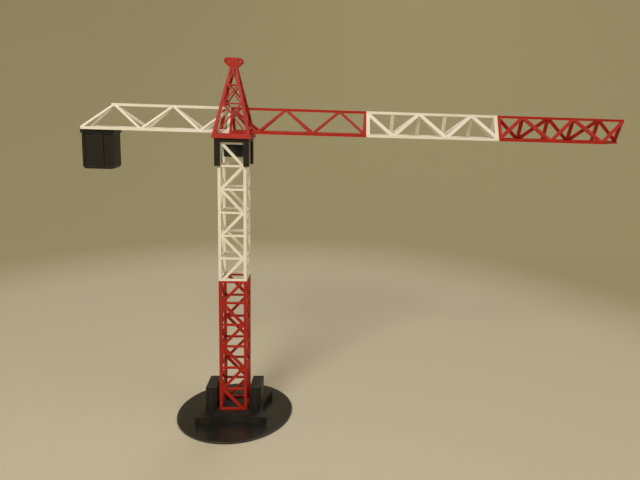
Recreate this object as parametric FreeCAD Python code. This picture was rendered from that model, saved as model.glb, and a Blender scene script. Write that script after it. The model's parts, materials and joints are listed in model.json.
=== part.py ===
import FreeCAD, Part
import os
from math import acos, atan2, cos, pi, sin

# Desktop model of a tower crane, printed in plastic.
# Millimetres.  Origin on the floor at the centre of the base disc, +X along the jib, +Z up.
# The mast with its base stands still; everything above the cap turns about Z on a round pin.

V = FreeCAD.Vector

# ---- base ----
disc_radius = 77.0
disc_thick = 2.6
disc_edge = 0.5
plinth_height = 10.3        # four-armed plinth under the mast and the ballast
plinth_length = 93.4        # along X, over the arms
plinth_width = 72.0         # along Y, over the arms
plinth_arm = 18.0           # width of an arm's end
plinth_end_hollow = 9.4     # how far the two ends curve in between the arms
plinth_side_hollow = 7.7    # how far the front and the back curve in
ballast_width = 14.6
ballast_length = 32.6
ballast_height = 32.6
ballast_gap = 3.9           # from the mast to a ballast block
ballast_edge = 0.9          # chamfer round a block's top

# ---- mast ----
mast_width = 36.0
mast_post = 3.9
mast_rail = 2.7             # height of a horizontal bar
mast_brace = 3.6            # width of a diagonal bar
mast_lace_depth = 2.7       # thickness of both, flush with the posts' outer faces
bay_height = 30.0
section_bays = 6

# ---- cap on the mast, with the socket that the upper works turn in ----
cap_plate_thick = 4.7
cap_wall = 3.4              # corner angles outside the posts
cap_angle_width = 6.9
sleeve_depth = 18.9
sleeve_wall = 3.4
sleeve_clearance = 0.9      # from the sleeve to the inside of the posts
pin_clearance = 0.08        # radial running fit
slew_gap = 0.3              # between the cap and what turns on it

# ---- tower head ----
base_plate_thick = 6.0
apex_height = 81.4
apex_top = 4.8              # half width of the four legs at the top
leg_foot = 4.3
leg_top = 3.4
apex_brace = 1.7
apex_ring_gap = 3.4         # from the jib's top chord to the lower ring
apex_upper_ring = 60.0      # height above the base plate
head_height = 12.0
head_round = 4.3
stay_hole_offset = 7.4
stay_hole_radius = 1.5

# ---- jib and counter-jib, one triangular truss ----
jib_width = 34.3
jib_height = 32.6
chord = 3.4
truss_depth = 2.6           # thickness of every bar of the lacing
brace_narrow = 2.9          # width of the bars in the counter-jib and the first length of jib
brace_wide = 4.6            # width of the bars in the other two lengths
jib_side_gap = 1.7          # from the jib to the legs it passes between
jib_joint_x = -3.4          # where jib and counter-jib meet
panels = 5
jib_pitch = 34.3
counter_pitch = 36.0
chord_overrun = 3.4         # a chord's end beyond its last joint

# ---- counterweight ----
weight_overhang = 2.6       # how far the lip reaches past the counter-jib's end
weight_length = 38.6
weight_width = 22.3
weight_height = 44.6
weight_chamfer = 2.9
lip_thick = 4.7
lip_margin = 1.3
weight_strip = 12.9         # raised strip down the middle of each face
weight_border = 3.1
weight_recess = 1.2

# ---- what follows from them ----
mast_half = mast_width / 2
mast_inner = mast_half - mast_post
mast_foot_z = disc_thick + plinth_height
mast_section = section_bays * bay_height
mast_top_z = mast_foot_z + 2 * mast_section
cap_half = mast_half + cap_wall
sleeve_radius = mast_inner - sleeve_clearance
bore_radius = sleeve_radius - sleeve_wall
slew_z = mast_top_z + cap_plate_thick + slew_gap
jib_z = slew_z + base_plate_thick
apex_foot = jib_width / 2 + jib_side_gap + leg_foot
apex_lower_ring = jib_height + apex_ring_gap + apex_brace / 2
chord_offset = jib_width / 2 - chord / 2
counter_start_x = jib_joint_x - panels * counter_pitch

parts = {}


def box(x0, x1, y0, y1, z0, z1):
    """Box between two values on each axis."""
    return Part.makeBox(x1 - x0, y1 - y0, z1 - z0, V(x0, y0, z0))


def fuse(shapes):
    """One shape from several that overlap."""
    return shapes[0].multiFuse(shapes[1:]).removeSplitter()


def turned(shape, quarter_turns):
    """Copy of a shape, turned about the mast's axis."""
    copy = shape.copy()
    copy.rotate(V(0, 0, 0), V(0, 0, 1), 90 * quarter_turns)
    return copy


def unit(vector):
    return vector * (1 / vector.Length)


def bar(start, end, width, depth, normal, extend=0.0):
    """Straight bar of rectangular section: depth lies along normal, width across it."""
    along = unit(end - start)
    start = start - along * extend
    end = end + along * extend
    half_width = unit(normal.cross(along)) * (width / 2)
    half_depth = unit(normal) * (depth / 2)
    corners = [start + half_width * i + half_depth * j
               for i, j in ((1, 1), (-1, 1), (-1, -1), (1, -1))]
    return Part.Face(Part.makePolygon(corners + corners[:1])).extrude(end - start)


# ---------------------------------------------------------------- base

def base_disc():
    disc = Part.makeCylinder(disc_radius, disc_thick)
    rim = [edge for edge in disc.Edges if edge.BoundBox.ZMin > disc_thick / 2]
    return disc.makeChamfer(disc_edge, rim)


def plinth():
    """Slab with an arm at each corner and a hollow curve between every two arms."""
    x, y = plinth_length / 2, plinth_width / 2
    x_arm = x - plinth_arm
    corners = []
    for side in (-1, 1):
        corners += [V(side * x, side * y, 0), V(side * x_arm, side * y, 0),
                    V(0, side * (y - plinth_side_hollow), 0), V(-side * x_arm, side * y, 0),
                    V(-side * x, side * y, 0), V(-side * (x - plinth_end_hollow), 0, 0)]
    edges = []
    for first in (0, 6):
        end, arm, front, far_arm, far_end, hollow, closing = (corners * 2)[first:first + 7]
        edges += [Part.makeLine(end, arm), Part.Arc(arm, front, far_arm).toShape(),
                  Part.makeLine(far_arm, far_end), Part.Arc(far_end, hollow, closing).toShape()]
    slab = Part.Face(Part.Wire(edges)).extrude(V(0, 0, plinth_height))
    slab.translate(V(0, 0, disc_thick))
    return slab


def ballast_block(side):
    near = mast_half + ballast_gap
    block = box(near, near + ballast_width, -ballast_length / 2, ballast_length / 2,
                mast_foot_z, mast_foot_z + ballast_height)
    top = [edge for edge in block.Edges if edge.BoundBox.ZMin > mast_foot_z + ballast_height / 2]
    return turned(block.makeChamfer(ballast_edge, top), 0 if side > 0 else 2)


# ---------------------------------------------------------------- mast

def mast_panel(z_low, low_side, with_posts):
    """One flat side of a mast section, facing -Y.  low_side is where the zigzag starts."""
    y_out = -mast_half
    y_mid = y_out + mast_lace_depth / 2
    z_high = z_low + mast_section
    reach = mast_half if with_posts else mast_inner
    members = []
    for level in range(section_bays + 1):
        z = z_low + level * bay_height
        z = min(max(z, z_low + mast_rail / 2), z_high - mast_rail / 2)
        members.append(box(-reach, reach, y_out, y_out + mast_lace_depth,
                           z - mast_rail / 2, z + mast_rail / 2))
    side = low_side
    for level in range(section_bays):
        start = V(side * mast_inner, y_mid, z_low + level * bay_height)
        end = V(-side * mast_inner, y_mid, start.z + bay_height)
        members.append(bar(start, end, mast_brace, mast_lace_depth, V(0, 1, 0), mast_post / 2))
        side = -side
    if with_posts:
        for x in (-mast_half, mast_inner):
            members.append(box(x, x + mast_post, y_out, y_out + mast_post, z_low, z_high))
    limits = box(-reach, reach, y_out, 0, z_low, z_high)
    return fuse(members).common(limits)


def mast_section_sides(name, z_low, low_sides):
    """Front and rear sides hold the posts; right and left sides fit between them."""
    for quarter, word in enumerate(("front", "right", "rear", "left")):
        panel = mast_panel(z_low, low_sides[quarter], word in ("front", "rear"))
        parts[name + "_" + word] = turned(panel, quarter)


# ---------------------------------------------------------------- cap and slewing pin

def cap_plate():
    plate = box(-cap_half, cap_half, -cap_half, cap_half, mast_top_z, mast_top_z + cap_plate_thick)
    return plate.cut(Part.makeCylinder(bore_radius, cap_plate_thick, V(0, 0, mast_top_z)))


def cap_sleeve():
    foot = V(0, 0, mast_top_z - sleeve_depth)
    outside = Part.makeCylinder(sleeve_radius, sleeve_depth, foot)
    return outside.cut(Part.makeCylinder(bore_radius, sleeve_depth, foot))


def cap_angles():
    """Four corner angles that grip the mast's posts over one bay."""
    inside = cap_half - cap_angle_width
    z_low = mast_top_z - bay_height
    angle = box(inside, cap_half, inside, cap_half, z_low, mast_top_z)
    angle = angle.cut(box(0, mast_half, 0, mast_half, z_low, mast_top_z))
    return Part.makeCompound([turned(angle, corner) for corner in range(4)])


def slew_pin():
    foot = mast_top_z - sleeve_depth
    return Part.makeCylinder(bore_radius - pin_clearance, slew_z - foot, V(0, 0, foot))


# ---------------------------------------------------------------- tower head

def leg_outer(height):
    return apex_foot + (apex_top - apex_foot) * height / apex_height


def leg_size(height):
    return leg_foot + (leg_top - leg_foot) * height / apex_height


def square(near, far, z):
    """Square outline in the corner where x and y are both positive."""
    return Part.makePolygon([V(near, near, z), V(far, near, z), V(far, far, z),
                             V(near, far, z), V(near, near, z)])


def apex_leg(corner):
    outlines = [square(leg_outer(h) - leg_size(h), leg_outer(h), jib_z + h)
                for h in (0.0, apex_height)]
    return turned(Part.makeLoft(outlines, True, True), corner)


def apex_lacing(first_bay):
    """Rings and crossed braces of the side facing -Y, from a given bay upwards."""
    normal = V(0, -apex_height, apex_foot - apex_top)

    def point(side, height):
        x = side * (leg_outer(height) - leg_size(height))
        return V(x, apex_brace / 2 - leg_outer(height), jib_z + height)

    levels = (0.0, apex_lower_ring, apex_upper_ring, apex_height)
    bars = [(point(-1, h), point(1, h)) for h in levels[1:3]]
    for low, high in list(zip(levels, levels[1:]))[first_bay:]:
        bars += [(point(side, low), point(-side, high)) for side in (-1, 1)]
    return fuse([bar(a, b, apex_brace, apex_brace, normal, leg_top / 2) for a, b in bars])


def apex_sides():
    top_z = jib_z + apex_height
    limits = box(-apex_foot, apex_foot, -apex_foot, apex_foot, jib_z, top_z)
    front = fuse([apex_leg(2), apex_leg(3), apex_lacing(0)]).common(limits)
    rear = turned(front, 2)
    right = turned(apex_lacing(1).common(limits), 1).cut(front).cut(rear)
    parts["apex_front"] = front
    parts["apex_rear"] = rear
    parts["apex_right"] = right
    parts["apex_left"] = turned(right, 2)


def apex_head():
    """Flat block with round ends on the four legs, drilled for two stays."""
    foot_z = jib_z + apex_height
    top_z = foot_z + head_height
    hole = V(stay_hole_offset, -apex_top, top_z - head_round)
    reach = V(apex_top - hole.x, 0, foot_z - hole.z)
    tangent = atan2(reach.z, reach.x) + acos(head_round / reach.Length)

    def rim(side, angle):
        return V(side * (hole.x + head_round * cos(angle)), hole.y, hole.z + head_round * sin(angle))

    def foot(side):
        return V(side * apex_top, hole.y, foot_z)

    def end(side):
        return Part.Arc(rim(side, tangent), rim(side, (tangent + pi / 2) / 2), rim(side, pi / 2)).toShape()

    edges = [Part.makeLine(foot(-1), foot(1)), Part.makeLine(foot(1), rim(1, tangent)), end(1),
             Part.makeLine(rim(1, pi / 2), rim(-1, pi / 2)), end(-1),
             Part.makeLine(rim(-1, tangent), foot(-1))]
    block = Part.Face(Part.Wire(Part.__sortEdges__(edges))).extrude(V(0, 2 * apex_top, 0))
    for side in (-1, 1):
        centre = V(side * hole.x, hole.y, hole.z)
        block = block.cut(Part.makeCylinder(stay_hole_radius, 2 * apex_top, centre, V(0, 1, 0)))
    return block


def slew_base():
    """Plate under the legs, whose sloping edges run on from theirs."""
    outlines = []
    for height in (-base_plate_thick, 0.0):
        half = leg_outer(height)
        outlines.append(Part.makePolygon([V(x * half, y * half, jib_z + height)
                                          for x, y in ((-1, -1), (1, -1), (1, 1), (-1, 1), (-1, -1))]))
    return Part.makeLoft(outlines, True, True)


# ---------------------------------------------------------------- jib and counter-jib

def low_point(x, side):
    return V(x, side * chord_offset, jib_z + chord / 2)


def ridge_point(x):
    return V(x, 0, jib_z + jib_height - chord / 2)


def top_chord(x_start, x_end):
    z_top = jib_z + jib_height
    return box(x_start, x_end, -chord / 2, chord / 2, z_top - chord, z_top)


def truss_side(side, x0, pitch, low_at_start, chord_end, uprights, brace):
    """A sloping side: its bottom chord, the zigzag, and uprights at the panel points named."""
    x_end = x0 + panels * pitch
    normal = V(1, 0, 0).cross(ridge_point(x0) - low_point(x0, side))
    near = side * chord_offset - chord / 2
    members = [box(x0, chord_end, near, near + chord, jib_z, jib_z + chord)]
    low_now = low_at_start
    for panel in range(panels):
        x_low, x_high = x0 + panel * pitch, x0 + (panel + 1) * pitch
        if not low_now:
            x_low, x_high = x_high, x_low
        members.append(bar(low_point(x_low, side), ridge_point(x_high), brace, truss_depth, normal))
        low_now = not low_now
    for panel in uprights:
        x = x0 + panel * pitch
        x = min(max(x, x0 + brace / 2), x_end - brace / 2)
        members.append(bar(low_point(x, side), ridge_point(x), brace, truss_depth, normal))
    y0, y1 = sorted((0, side * jib_width / 2))
    limits = box(x0, x_end, y0, y1, jib_z, jib_z + jib_height)
    return fuse(members).cut(top_chord(x0, x_end)).common(limits)


def truss_bottom(x0, pitch, front_at_start, cross_bars, sides, brace):
    """Zigzag between the bottom chords, with cross bars at the panel points named."""
    x_end = x0 + panels * pitch
    inner = chord_offset - chord / 2
    z = jib_z + truss_depth / 2
    up = V(0, 0, 1)
    side = -1 if front_at_start else 1
    members = []
    for panel in range(panels):
        start = V(x0 + panel * pitch, side * inner, z)
        end = V(start.x + pitch, -side * inner, z)
        members.append(bar(start, end, brace, truss_depth, up, chord / 2))
        side = -side
    for panel in cross_bars:
        x = x0 + panel * pitch
        x = min(max(x, x0 + brace / 2), x_end - brace / 2)
        members.append(bar(V(x, -inner, z), V(x, inner, z), brace, truss_depth, up))
    lacing = fuse(members).common(box(x0, x_end, -inner, inner, jib_z, jib_z + chord))
    for neighbour in sides:
        lacing = lacing.cut(neighbour)
    return lacing


def truss_section(name, x0, pitch, front_low, rear_low, uprights, cross_bars, brace, cut_back="none"):
    """One printed length of truss.  cut_back names the chord that stops at the last joint before an end."""
    x_end = x0 + panels * pitch
    front_end = x_end - pitch + chord_overrun if cut_back == "front" else x_end
    ridge_start = x0 + pitch - chord_overrun if cut_back == "top" else x0
    front = truss_side(-1, x0, pitch, front_low, front_end, uprights[0], brace)
    rear = truss_side(1, x0, pitch, rear_low, x_end, uprights[1], brace)
    parts[name + "_front_side"] = front
    parts[name + "_rear_side"] = rear
    parts[name + "_top_chord"] = top_chord(ridge_start, x_end)
    lacing = truss_bottom(x0, pitch, front_low, cross_bars, (front, rear), brace)
    parts[name + "_bottom_lacing"] = lacing


def all_trusses():
    ends = (0, panels)
    every = tuple(range(panels + 1))
    length = panels * jib_pitch
    x = jib_joint_x
    truss_section("counter_jib", counter_start_x, counter_pitch, True, True,
                  ((panels,), (panels,)), ends, brace_narrow, cut_back="top")
    truss_section("jib_inner", x, jib_pitch, False, False, (ends, ends), ends, brace_narrow)
    truss_section("jib_middle", x + length, jib_pitch, False, False, (ends, every), ends, brace_wide)
    truss_section("jib_outer", x + 2 * length, jib_pitch, True, False,
                  ((0,), every), (0,), brace_wide, cut_back="front")


# ---------------------------------------------------------------- counterweight

def counterweight_lip():
    x0 = counter_start_x - weight_overhang
    half = weight_width / 2 + lip_margin
    return box(x0, x0 + weight_length + 2 * lip_margin, -half, half, jib_z - lip_thick, jib_z)


def counterweight_body():
    """Block with its two lower edges cut off and a raised strip down the front and the back."""
    x0 = counter_start_x - weight_overhang + lip_margin
    x1 = x0 + weight_length
    z1 = jib_z - lip_thick
    z0 = z1 - weight_height
    half = weight_width / 2
    cut = weight_chamfer
    outline = [V(x0, -half, z1), V(x0, -half, z0 + cut), V(x0 + cut, -half, z0), V(x1 - cut, -half, z0),
               V(x1, -half, z0 + cut), V(x1, -half, z1), V(x0, -half, z1)]
    block = Part.Face(Part.makePolygon(outline)).extrude(V(0, weight_width, 0))
    panel_width = (weight_length - weight_strip) / 2 - weight_border
    for y in (-half, half - weight_recess):
        for x in (x0 + weight_border, x1 - weight_border - panel_width):
            block = block.cut(box(x, x + panel_width, y, y + weight_recess, z0 + cut, z1))
    return block


# ---------------------------------------------------------------- all pieces

parts["base_disc"] = base_disc()
parts["plinth"] = plinth()
for word, side in (("left", -1), ("right", 1)):
    parts["ballast_block_" + word] = ballast_block(side)
mast_section_sides("mast_lower", mast_foot_z, (1, 1, 1, 1))
mast_section_sides("mast_upper", mast_foot_z + mast_section, (-1, -1, 1, -1))
parts["cap_plate"] = cap_plate()
parts["cap_sleeve"] = cap_sleeve()
parts["cap_angles"] = cap_angles()
parts["slew_pin"] = slew_pin()
parts["slew_base"] = slew_base()
apex_sides()
parts["apex_head"] = apex_head()
all_trusses()
parts["counterweight_lip"] = counterweight_lip()
parts["counterweight_body"] = counterweight_body()

os.makedirs("parts", exist_ok=True)
for name, shape in parts.items():
    shape.exportStep("parts/" + name + ".step")
    print(name, len(shape.Solids), round(shape.Volume, 1), shape.isValid())
print("volume cm3", round(sum(shape.Volume for shape in parts.values()) / 1000, 1))
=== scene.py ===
"""Looks of a desk model of a tower crane, printed in red, white and black plastic."""
import json
import math

import bmesh
import bpy
from mathutils import Matrix, Vector


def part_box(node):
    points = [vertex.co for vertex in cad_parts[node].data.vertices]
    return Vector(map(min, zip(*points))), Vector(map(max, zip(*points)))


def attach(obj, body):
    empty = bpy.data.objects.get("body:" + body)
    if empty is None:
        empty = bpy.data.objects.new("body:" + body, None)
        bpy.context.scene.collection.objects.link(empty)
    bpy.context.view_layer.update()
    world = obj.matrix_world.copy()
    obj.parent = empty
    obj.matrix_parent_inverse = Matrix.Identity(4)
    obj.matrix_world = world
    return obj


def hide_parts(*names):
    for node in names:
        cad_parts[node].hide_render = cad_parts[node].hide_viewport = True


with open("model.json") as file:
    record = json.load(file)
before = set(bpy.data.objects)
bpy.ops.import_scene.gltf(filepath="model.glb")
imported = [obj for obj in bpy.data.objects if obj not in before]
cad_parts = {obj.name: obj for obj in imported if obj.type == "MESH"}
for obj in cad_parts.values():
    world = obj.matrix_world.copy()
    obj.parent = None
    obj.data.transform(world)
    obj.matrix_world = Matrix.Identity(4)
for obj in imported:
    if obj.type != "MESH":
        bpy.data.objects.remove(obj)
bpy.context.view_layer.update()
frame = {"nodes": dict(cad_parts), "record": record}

MM = 0.001
X, Y, Z = Vector((1, 0, 0)), Vector((0, 1, 0)), Vector((0, 0, 1))

# ------------------------------------------------------------------ shader maths


class Amount:
    """What comes out of one shader node, so that sums on it can be written as sums."""

    def __init__(self, finish, socket):
        self.finish = finish
        self.socket = socket

    def maths(self, operation, *others):
        sockets = dict(enumerate((self,) + others))
        return self.finish.node("ShaderNodeMath", {"operation": operation}, sockets)

    def __add__(self, other):
        return self.maths("ADD", other)

    def __mul__(self, other):
        return self.maths("MULTIPLY", other)

    def __sub__(self, other):
        return self.maths("SUBTRACT", other)

    def __rsub__(self, other):
        return self.finish.node("ShaderNodeMath", {"operation": "SUBTRACT"}, {0: other, 1: self})

    def __truediv__(self, other):
        return self.maths("DIVIDE", other)

    def __abs__(self):
        return self.maths("ABSOLUTE")

    def ridged(self):
        """Rounded ridges, one for every whole number."""
        return abs((self * math.pi).maths("SINE"))

    def from_to(self, low, high):
        """0 below the low end, 1 above the high end, smooth between them."""
        sockets = {"Value": self, "From Min": low, "From Max": high}
        return self.finish.node("ShaderNodeMapRange", {"interpolation_type": "SMOOTHSTEP"}, sockets)


class Finish:
    """One procedural material and the few nodes that the finishes here are made from."""

    def __init__(self, name):
        self.material = bpy.data.materials.new(name)
        self.material.use_nodes = True
        self.tree = self.material.node_tree
        self.tree.nodes.clear()

    def node(self, kind, settings=None, sockets=None, out=0):
        made = self.tree.nodes.new(kind)
        for key, value in (settings or {}).items():
            setattr(made, key, value)
        for key, value in (sockets or {}).items():
            if isinstance(value, Amount):
                self.tree.links.new(value.socket, made.inputs[key])
            else:
                made.inputs[key].default_value = value
        return Amount(self, made.outputs[out])

    def place(self):
        return self.node("ShaderNodeTexCoord", out="Object")

    def facing(self):
        return self.node("ShaderNodeTexCoord", out="Normal")

    def along(self, vector, direction):
        """How far a place, or a face, goes in a direction."""
        settings = {"operation": "DOT_PRODUCT"}
        return self.node("ShaderNodeVectorMath", settings, {0: vector, 1: direction}, out="Value")

    def cloud(self, size, detail=2.0, rough=0.5):
        """Noise whose patches are about as wide as the size, in metres."""
        sockets = {"Vector": self.place(), "Scale": 1 / size, "Detail": detail, "Roughness": rough}
        return self.node("ShaderNodeTexNoise", {}, sockets)

    def blended(self, share, first, second):
        settings = {"data_type": "RGBA"}
        return self.node("ShaderNodeMix", settings, {0: share, 6: first, 7: second}, out=2)

    def raised(self, height, depth, strength=1.0):
        sockets = {"Strength": strength, "Distance": depth, "Height": height}
        return self.node("ShaderNodeBump", {}, sockets)

    def done(self, **inputs):
        sockets = {key.replace("_", " "): value for key, value in inputs.items()}
        shader = self.node("ShaderNodeBsdfPrincipled", {}, sockets)
        output = self.tree.nodes.new("ShaderNodeOutputMaterial")
        self.tree.links.new(shader.socket, output.inputs["Surface"])
        return self.material


# ------------------------------------------------------------------ finishes

# each plastic's deep colour gives both its random darker patches and the painted shade in the grooves between
# printed layers
RED = {
    "body": (0.45, 0.015, 0.0065, 1),
    "pale": (0.60, 0.068, 0.038, 1),
    "deep": (0.25, 0.007, 0.004, 1),
}
WHITE = {
    "body": (0.88, 0.85, 0.77, 1),
    "pale": (0.93, 0.91, 0.86, 1),
    "deep": (0.62, 0.58, 0.49, 1),
}
BLACK = {
    "body": (0.0150, 0.0135, 0.0115, 1),
    "pale": (0.050, 0.045, 0.038, 1),
    "deep": (0.005, 0.0047, 0.0042, 1),
}
DUST = (0.42, 0.39, 0.34, 1)

PLASTICS = {"red": RED, "white": WHITE, "black": BLACK}
ROUGHNESS = {"red": 0.42, "white": 0.50, "black": 0.38}
DUSTINESS = {"red": 0.15, "white": 0.10, "black": 0.16}
SPECULAR = 0.28  # of every print that was not pressed on glass

LAYER = 0.25 * MM  # height of one printed layer
STRAND = 0.45 * MM  # width of one printed strand


def filament(name, colours, stacked, roughness, dust):
    """Printed plastic: layers stacked one way, strands side by side on the faces that close the stack."""
    f = Finish(name)
    stacked = stacked.normalized()
    wobble = f.cloud(9 * MM) * 0.5
    layers = (f.along(f.place(), stacked / LAYER) + wobble).ridged()
    way = f.node("ShaderNodeAttribute", {"attribute_name": "strand_way"}, out="Vector")
    beside = f.node("ShaderNodeVectorMath", {"operation": "CROSS_PRODUCT"}, {0: f.facing(), 1: way})
    strands = (f.along(f.place(), beside) / STRAND + wobble * 0.3).ridged()
    closing = abs(f.along(f.facing(), stacked)).from_to(0.80, 0.92)
    ridges = layers * (1 - closing) + strands * closing
    lumps = f.cloud(1.6 * MM, 3.0)
    patches = f.cloud(24 * MM, 3.0)
    worn = f.node("ShaderNodeAttribute", {"attribute_name": "worn_edge"}, out="Fac")
    settled = f.along(f.facing(), Z).from_to(0.6, 0.95) * f.cloud(0.9 * MM, 4.0).from_to(0.56, 0.70)

    colour = f.blended(patches.from_to(0.30, 0.75) * 0.30, colours["body"], colours["deep"])
    # painted shade: the grooves between layers and strands are darkened towards the deep colour, as shade
    # would fall in them; the bump below shapes the same grooves
    colour = f.blended((1 - ridges) * 0.22, colour, colours["deep"])
    colour = f.blended(lumps.from_to(0.60, 0.85) * 0.20 + worn * 0.30, colour, colours["pale"])
    colour = f.blended(settled * dust, colour, DUST)
    shine = (patches - 0.5) * 0.16 + (lumps - 0.5) * 0.10 - worn * 0.08 + settled * 0.25 + roughness
    return f.done(Base_Color=colour, Roughness=shine, Specular_IOR_Level=SPECULAR,
                  Normal=f.raised(ridges + lumps * 0.8, 0.045 * MM, 0.8))


def pressed_on_glass(name):
    """Black plastic with the shine of the plate that it was laid on, with smears and specks of dust."""
    f = Finish(name)
    smears = f.cloud(30 * MM, 4.0, 0.6)
    grain = f.cloud(1.1 * MM, 3.0)
    strands = f.along(f.place(), Vector((1, 1, 0)).normalized() / STRAND).ridged()
    on_top = f.along(f.facing(), Z).from_to(0.6, 0.95)
    sides = f.along(f.place(), Z / LAYER).ridged() * (1 - on_top)
    specks = f.cloud(0.8 * MM, 2.0).from_to(0.66, 0.74) * on_top
    worn = f.node("ShaderNodeAttribute", {"attribute_name": "worn_edge"}, out="Fac")
    colour = f.blended(smears.from_to(0.35, 0.75) * 0.12, BLACK["body"], BLACK["pale"])
    colour = f.blended(specks * 0.12 + worn * 0.06, colour, DUST)
    shine = smears.from_to(0.30, 0.80) * 0.12 + grain * 0.05 + specks * 0.3 + 0.17
    height = strands * 0.25 + sides + grain * 0.3
    return f.done(Base_Color=colour, Roughness=shine, Normal=f.raised(height, 0.02 * MM, 0.5))


class Filaments:
    """The same plastic in each direction that a piece was printed in, made once each."""

    def __init__(self):
        self.made = {}

    def get(self, colour_name, stacked):
        key = colour_name + "_print_" + "_".join(str(round(10 * c)) for c in stacked)
        key = key.replace("-", "m")
        if key not in self.made:
            self.made[key] = filament(key, PLASTICS[colour_name], stacked, ROUGHNESS[colour_name],
                                      DUSTINESS[colour_name])
        return self.made[key]


# ------------------------------------------------------------------ pieces

SOFT_EDGE = 0.30 * MM  # how far in from an edge its rounding starts
EDGE_STEPS = 2
ROUNDED_OVER = math.radians(25)  # an edge that turns by more is rounded
SHARP_OVER = math.radians(50)  # an edge that still turns by more is shaded sharp
SAME_POINT = 1e-6


def folds(shape, angle):
    """The edges where two faces turn by more than an angle."""
    return [e for e in shape.edges if len(e.link_faces) == 2 and e.calc_face_angle(0) > angle]


def softened(node_name):
    """A print's own shape with its edges rounded off, by less than a strand's width."""
    shape = bmesh.new()
    shape.from_mesh(frame["nodes"][node_name].data)
    bmesh.ops.remove_doubles(shape, verts=shape.verts, dist=SAME_POINT)
    rounded = bmesh.ops.bevel(shape, geom=folds(shape, ROUNDED_OVER), offset=SOFT_EDGE,
                              offset_type="OFFSET", segments=EDGE_STEPS,
                              profile=0.6, affect="EDGES", clamp_overlap=False)["faces"]
    worn = shape.loops.layers.float.new("worn_edge")
    for face in rounded:
        for corner in face.loops:
            corner[worn] = 1.0
    way = shape.loops.layers.float_vector.new("strand_way")
    for face in shape.faces:
        face.smooth = True
        longest = max(face.edges, key=lambda e: e.calc_length())
        for corner in face.loops:
            corner[way] = (longest.verts[1].co - longest.verts[0].co).normalized()
    for e in folds(shape, SHARP_OVER):
        e.smooth = False
    mesh = bpy.data.meshes.new(node_name + "_print")
    shape.to_mesh(mesh)
    shape.free()
    piece = bpy.data.objects.new(node_name + "_print", mesh)
    bpy.context.scene.collection.objects.link(piece)
    evened = piece.modifiers.new("even_shading", "WEIGHTED_NORMAL")
    evened.keep_sharp = True
    result = piece.evaluated_get(bpy.context.evaluated_depsgraph_get())
    piece.data = bpy.data.meshes.new_from_object(result)
    piece.modifiers.clear()
    return piece


def finish_piece(piece, material, body, slot_name, *stands_for):
    piece.data.materials.clear()
    piece.data.materials.append(material)
    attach(piece, body)
    if stands_for:
        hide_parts(*stands_for)


# which way each piece's layers are stacked, and its colour
tilt = math.radians(25)
lean = Vector((0, math.cos(tilt), math.sin(tilt)))
lean_back = Vector((0, -lean.y, lean.z))

prints = {}
for side, stacked in (("front", Y), ("rear", Y), ("left", X), ("right", X)):
    prints["mast_lower_" + side] = ("red", stacked)
    prints["mast_upper_" + side] = ("white", stacked)
    prints["apex_" + side] = ("red", stacked)
for section, colour in (("jib_inner", "red"), ("jib_middle", "white"), ("jib_outer", "red"),
                        ("counter_jib", "white")):
    prints[section + "_front_side"] = (colour, lean)
    prints[section + "_rear_side"] = (colour, lean_back)
    prints[section + "_top_chord"] = (colour, Z)
    prints[section + "_bottom_lacing"] = (colour, Z)
for name in ("plinth", "ballast_block_left", "ballast_block_right", "cap_plate", "cap_sleeve", "cap_angles",
             "slew_pin", "counterweight_lip", "counterweight_body"):
    prints[name] = ("black", Z)
prints["slew_base"] = ("red", Z)
prints["apex_head"] = ("red", Y)

body_of = {name: body for body, names in frame["record"]["behaviour"]["bodies"].items() for name in names}
plastics = Filaments()
for name, (colour, stacked) in prints.items():
    finish_piece(softened(name), plastics.get(colour, stacked), body_of[name], colour + "_print", name)
finish_piece(softened("base_disc"), pressed_on_glass("black_glass_side"), body_of["base_disc"], "black_print",
             "base_disc")

# ------------------------------------------------------------------ layers that stand out on black pieces

STRAND_RADIUS = 0.14 * MM
STRAND_SUNK = 0.10 * MM  # how far inside the wall a strand's middle lies
STRAND_SIDES = 6
OUTLINE_STEP = 0.5 * MM  # points of an outline that are closer than this become one
END_SKIP = 0.4 * MM  # no strands this close to a piece's top or foot
CHAMFER_SKIP = 1.3 * MM  # clears the chamfer round a ballast block's top


class Recipe:
    """A Geometry Nodes tree whose sizes are set by name."""

    def __init__(self, name, **sizes):
        self.tree = bpy.data.node_groups.new(name, "GeometryNodeTree")
        self.keys = {}
        self.tree.interface.new_socket("Shape", in_out="INPUT", socket_type="NodeSocketGeometry")
        for size, kind in sizes.items():
            socket = self.tree.interface.new_socket(size, in_out="INPUT", socket_type="NodeSocket" + kind)
            self.keys[size] = socket.identifier
        self.tree.interface.new_socket("Shape", in_out="OUTPUT", socket_type="NodeSocketGeometry")
        self.given = self.tree.nodes.new("NodeGroupInput").outputs

    def node(self, kind, settings=None, sockets=None, out=0):
        made = self.tree.nodes.new(kind)
        for key, value in (settings or {}).items():
            setattr(made, key, value)
        for key, value in (sockets or {}).items():
            if isinstance(value, bpy.types.NodeSocket):
                self.tree.links.new(value, made.inputs[key])
            else:
                made.inputs[key].default_value = value
        return made.outputs[out]

    def end_with(self, shape, material):
        whole = self.node("GeometryNodeRealizeInstances", {}, {"Geometry": shape})
        finished = self.node("GeometryNodeSetMaterial", {}, {"Geometry": whole, "Material": material})
        self.tree.links.new(finished, self.tree.nodes.new("NodeGroupOutput").inputs["Shape"])

    def grown_on(self, name, mesh, **sizes):
        """A new piece: the recipe's result on a mesh, as a plain mesh of its own."""
        piece = bpy.data.objects.new(name, mesh)
        bpy.context.scene.collection.objects.link(piece)
        growth = piece.modifiers.new(self.tree.name, "NODES")
        growth.node_group = self.tree
        for size, value in sizes.items():
            growth[self.keys[size]] = value
        result = piece.evaluated_get(bpy.context.evaluated_depsgraph_get())
        piece.data = bpy.data.meshes.new_from_object(result)
        piece.modifiers.clear()
        return piece


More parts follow.
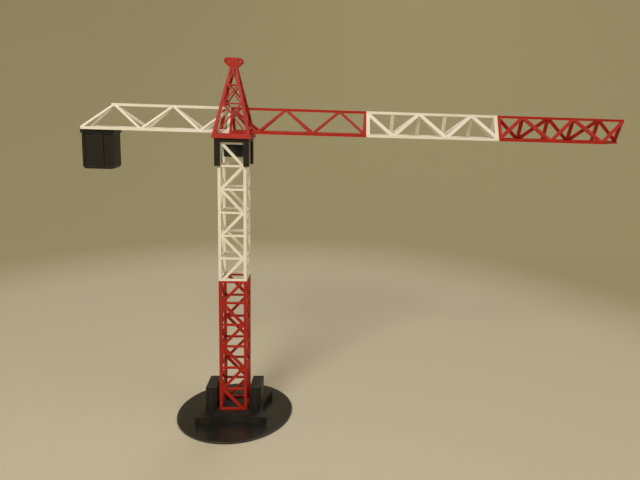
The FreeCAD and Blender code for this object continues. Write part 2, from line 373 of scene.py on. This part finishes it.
def stacked_strands():
    """Repeats an outline upwards as a round strand of plastic, one for each layer."""
    r = Recipe("stacked_strands", layer="Float", layers="Int", thickness="Float", plastic="Material")
    path = r.node("GeometryNodeMeshToCurve", {}, {"Mesh": r.given["Shape"]})
    round_section = {"Resolution": STRAND_SIDES, "Radius": r.given["thickness"]}
    section = r.node("GeometryNodeCurvePrimitiveCircle", {}, round_section)
    strand = r.node("GeometryNodeCurveToMesh", {}, {"Curve": path, "Profile Curve": section})
    rise = r.node("ShaderNodeCombineXYZ", {}, {"Z": r.given["layer"]})
    stack = r.node("GeometryNodeMeshLine", {"mode": "OFFSET"}, {"Count": r.given["layers"], "Offset": rise})
    placed = r.node("GeometryNodeInstanceOnPoints", {}, {"Points": stack, "Instance": strand})
    r.end_with(placed, r.given["plastic"])
    return r


def outline_of(node_name, height):
    """The outline where a level cut meets a piece's outer walls, drawn in by a little; a bore has none."""
    low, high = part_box(node_name)
    centre = (low + high) / 2
    shape = bmesh.new()
    shape.from_mesh(frame["nodes"][node_name].data)
    bmesh.ops.remove_doubles(shape, verts=shape.verts, dist=SAME_POINT)
    geometry = shape.verts[:] + shape.edges[:] + shape.faces[:]
    cut = bmesh.ops.bisect_plane(shape, geom=geometry, plane_co=(0, 0, height), plane_no=Z)["geom_cut"]
    edges = []
    moved = {}
    for e in cut:
        if not isinstance(e, bmesh.types.BMEdge):
            continue
        outward = sum((face.normal for face in e.link_faces), Vector()).normalized()
        if outward.dot(e.verts[0].co - centre) < 0:
            continue
        edges.append(e)
        for v in e.verts:
            moved.setdefault(v, []).append(outward)
    outline = bmesh.new()
    twin = {}
    for v, outwards in moved.items():
        bent = sum(outwards, Vector()).normalized()
        reach = STRAND_SUNK / max(0.5, bent.dot(outwards[0]))  # at most twice as far at a corner
        twin[v] = outline.verts.new(v.co - bent * reach)
    for e in edges:
        outline.edges.new([twin[v] for v in e.verts])
    bmesh.ops.remove_doubles(outline, verts=outline.verts, dist=OUTLINE_STEP)
    mesh = bpy.data.meshes.new(node_name + "_outline")
    outline.to_mesh(mesh)
    outline.free()
    shape.free()
    return mesh


def layers_on(recipe, node_name, plastic, high_skip):
    """Strands of every layer up the sides of a piece, just proud of its walls."""
    low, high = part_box(node_name)
    middle = (low.z + high.z) / 2
    first = low.z + END_SKIP
    count = int((high.z - high_skip - first) / LAYER) + 1
    mesh = outline_of(node_name, middle)
    mesh.transform(Matrix.Translation((0, 0, first - middle)))
    piece = recipe.grown_on(node_name + "_layers", mesh, layer=LAYER, layers=count,
                            thickness=STRAND_RADIUS, plastic=plastic)
    for face in piece.data.polygons:
        face.use_smooth = True
    finish_piece(piece, plastic, body_of[node_name], "black_print")


def strand_plastic():
    """The blocks' plastic seen strand by strand, with no drawn layers, because here each layer is real."""
    f = Finish("black_strands")
    lumps = f.cloud(1.2 * MM, 3.0)
    patches = f.cloud(20 * MM, 3.0)
    colour = f.blended(patches.from_to(0.35, 0.75) * 0.12 + lumps.from_to(0.60, 0.85) * 0.10,
                       BLACK["body"], BLACK["pale"])
    shine = (patches - 0.5) * 0.16 + (lumps - 0.5) * 0.12 + 0.36
    return f.done(Base_Color=colour, Roughness=shine, Specular_IOR_Level=SPECULAR,
                  Normal=f.raised(lumps, 0.03 * MM, 0.6))


strands_recipe = stacked_strands()
strands_black = strand_plastic()
for name, top_skip in (("plinth", END_SKIP), ("ballast_block_left", CHAMFER_SKIP),
                       ("ballast_block_right", CHAMFER_SKIP), ("cap_sleeve", END_SKIP)):
    layers_on(strands_recipe, name, strands_black, top_skip)

# ------------------------------------------------------------------ studio

SPOKES = 96
BEND_STEPS = 16
LAMPS_AIM = Vector((0.086, 0, 0.257))
WARM = (1.0, 0.94, 0.84)


def studio_bowl():
    """A round floor that curves up into a wall, so that it stands behind the model from every side."""
    inner, flat, bend, top = 0.30, 0.56, 1.29, 2.49
    profile = [(inner, 0.0), (flat, 0.0)]
    for step in range(1, BEND_STEPS + 1):
        turn = math.radians(90) * step / BEND_STEPS
        profile.append((flat + bend * math.sin(turn), bend * (1 - math.cos(turn))))
    profile.append((flat + bend, top))
    shape = bmesh.new()
    rows = []
    for k in range(SPOKES):
        turn = math.tau * k / SPOKES
        across, along = math.cos(turn), math.sin(turn)
        rows.append([shape.verts.new((r * across, r * along, z)) for r, z in profile])
    centre = shape.verts.new((0, 0, 0))
    for k, row in enumerate(rows):
        beside = rows[(k + 1) % SPOKES]
        shape.faces.new((centre, row[0], beside[0]))
        for a in range(len(row) - 1):
            shape.faces.new((row[a], row[a + 1], beside[a + 1], beside[a]))
    for face in shape.faces:
        face.smooth = True
    mesh = bpy.data.meshes.new("studio_floor")
    shape.to_mesh(mesh)
    shape.free()
    floor = bpy.data.objects.new("studio_floor", mesh)
    bpy.context.scene.collection.objects.link(floor)
    f = Finish("studio_paper")
    height = f.along(f.place(), Z).from_to(0.0, 0.045)
    colour = f.blended(height, (0.60, 0.55, 0.445, 1), (0.41, 0.37, 0.235, 1))
    mesh.materials.append(f.done(Base_Color=colour, Roughness=0.95))


def soft_light(name, place, size, watts, colour):
    lamp = bpy.data.lights.new(name, "AREA")
    lamp.shape = "DISK"
    lamp.size = size
    lamp.energy = watts
    lamp.color = colour
    holder = bpy.data.objects.new(name, lamp)
    holder.location = place
    holder.rotation_euler = (Vector(place) - LAMPS_AIM).to_track_quat("Z", "Y").to_euler()
    bpy.context.scene.collection.objects.link(holder)


def camera_on_stand():
    """Stands a little to the right of the mast, just above the jib, and looks slightly down."""
    place = Vector((0.12639, -0.72933, 0.41809))
    heading, dip, roll = 0.06856, 0.1557, 0.0327
    ahead = Vector((math.sin(heading) * math.cos(dip), math.cos(heading) * math.cos(dip), -math.sin(dip)))
    level = Vector((math.cos(heading), -math.sin(heading), 0))
    upright = level.cross(ahead)
    right = level * math.cos(roll) + upright * math.sin(roll)
    up = upright * math.cos(roll) - level * math.sin(roll)
    lens = bpy.data.cameras.new("camera")
    lens.sensor_width = 36
    lens.lens = 31.5
    lens.shift_x = -0.0781
    lens.shift_y = -0.0655
    lens.clip_start = 0.02
    holder = bpy.data.objects.new("camera", lens)
    turned = Matrix((right, up, -ahead)).transposed().to_4x4()
    holder.matrix_world = Matrix.Translation(place) @ turned
    bpy.context.scene.collection.objects.link(holder)
    bpy.context.scene.camera = holder


studio_bowl()
soft_light("key_light", (-0.64, -1.56, 1.50), 0.94, 33, (1.0, 0.94, 0.82))
soft_light("fill_light", (1.46, -0.77, 1.37), 1.11, 5.9, WARM)
soft_light("back_light", (0.34, 1.29, 1.80), 1.11, 8.1, WARM)
world = bpy.data.worlds.new("room")
world.use_nodes = True
background = world.node_tree.nodes["Background"]
background.inputs["Color"].default_value = (1.0, 0.95, 0.84, 1)
background.inputs["Strength"].default_value = 0.28
bpy.context.scene.world = world
bpy.context.scene.view_settings.view_transform = "Standard"
camera_on_stand()
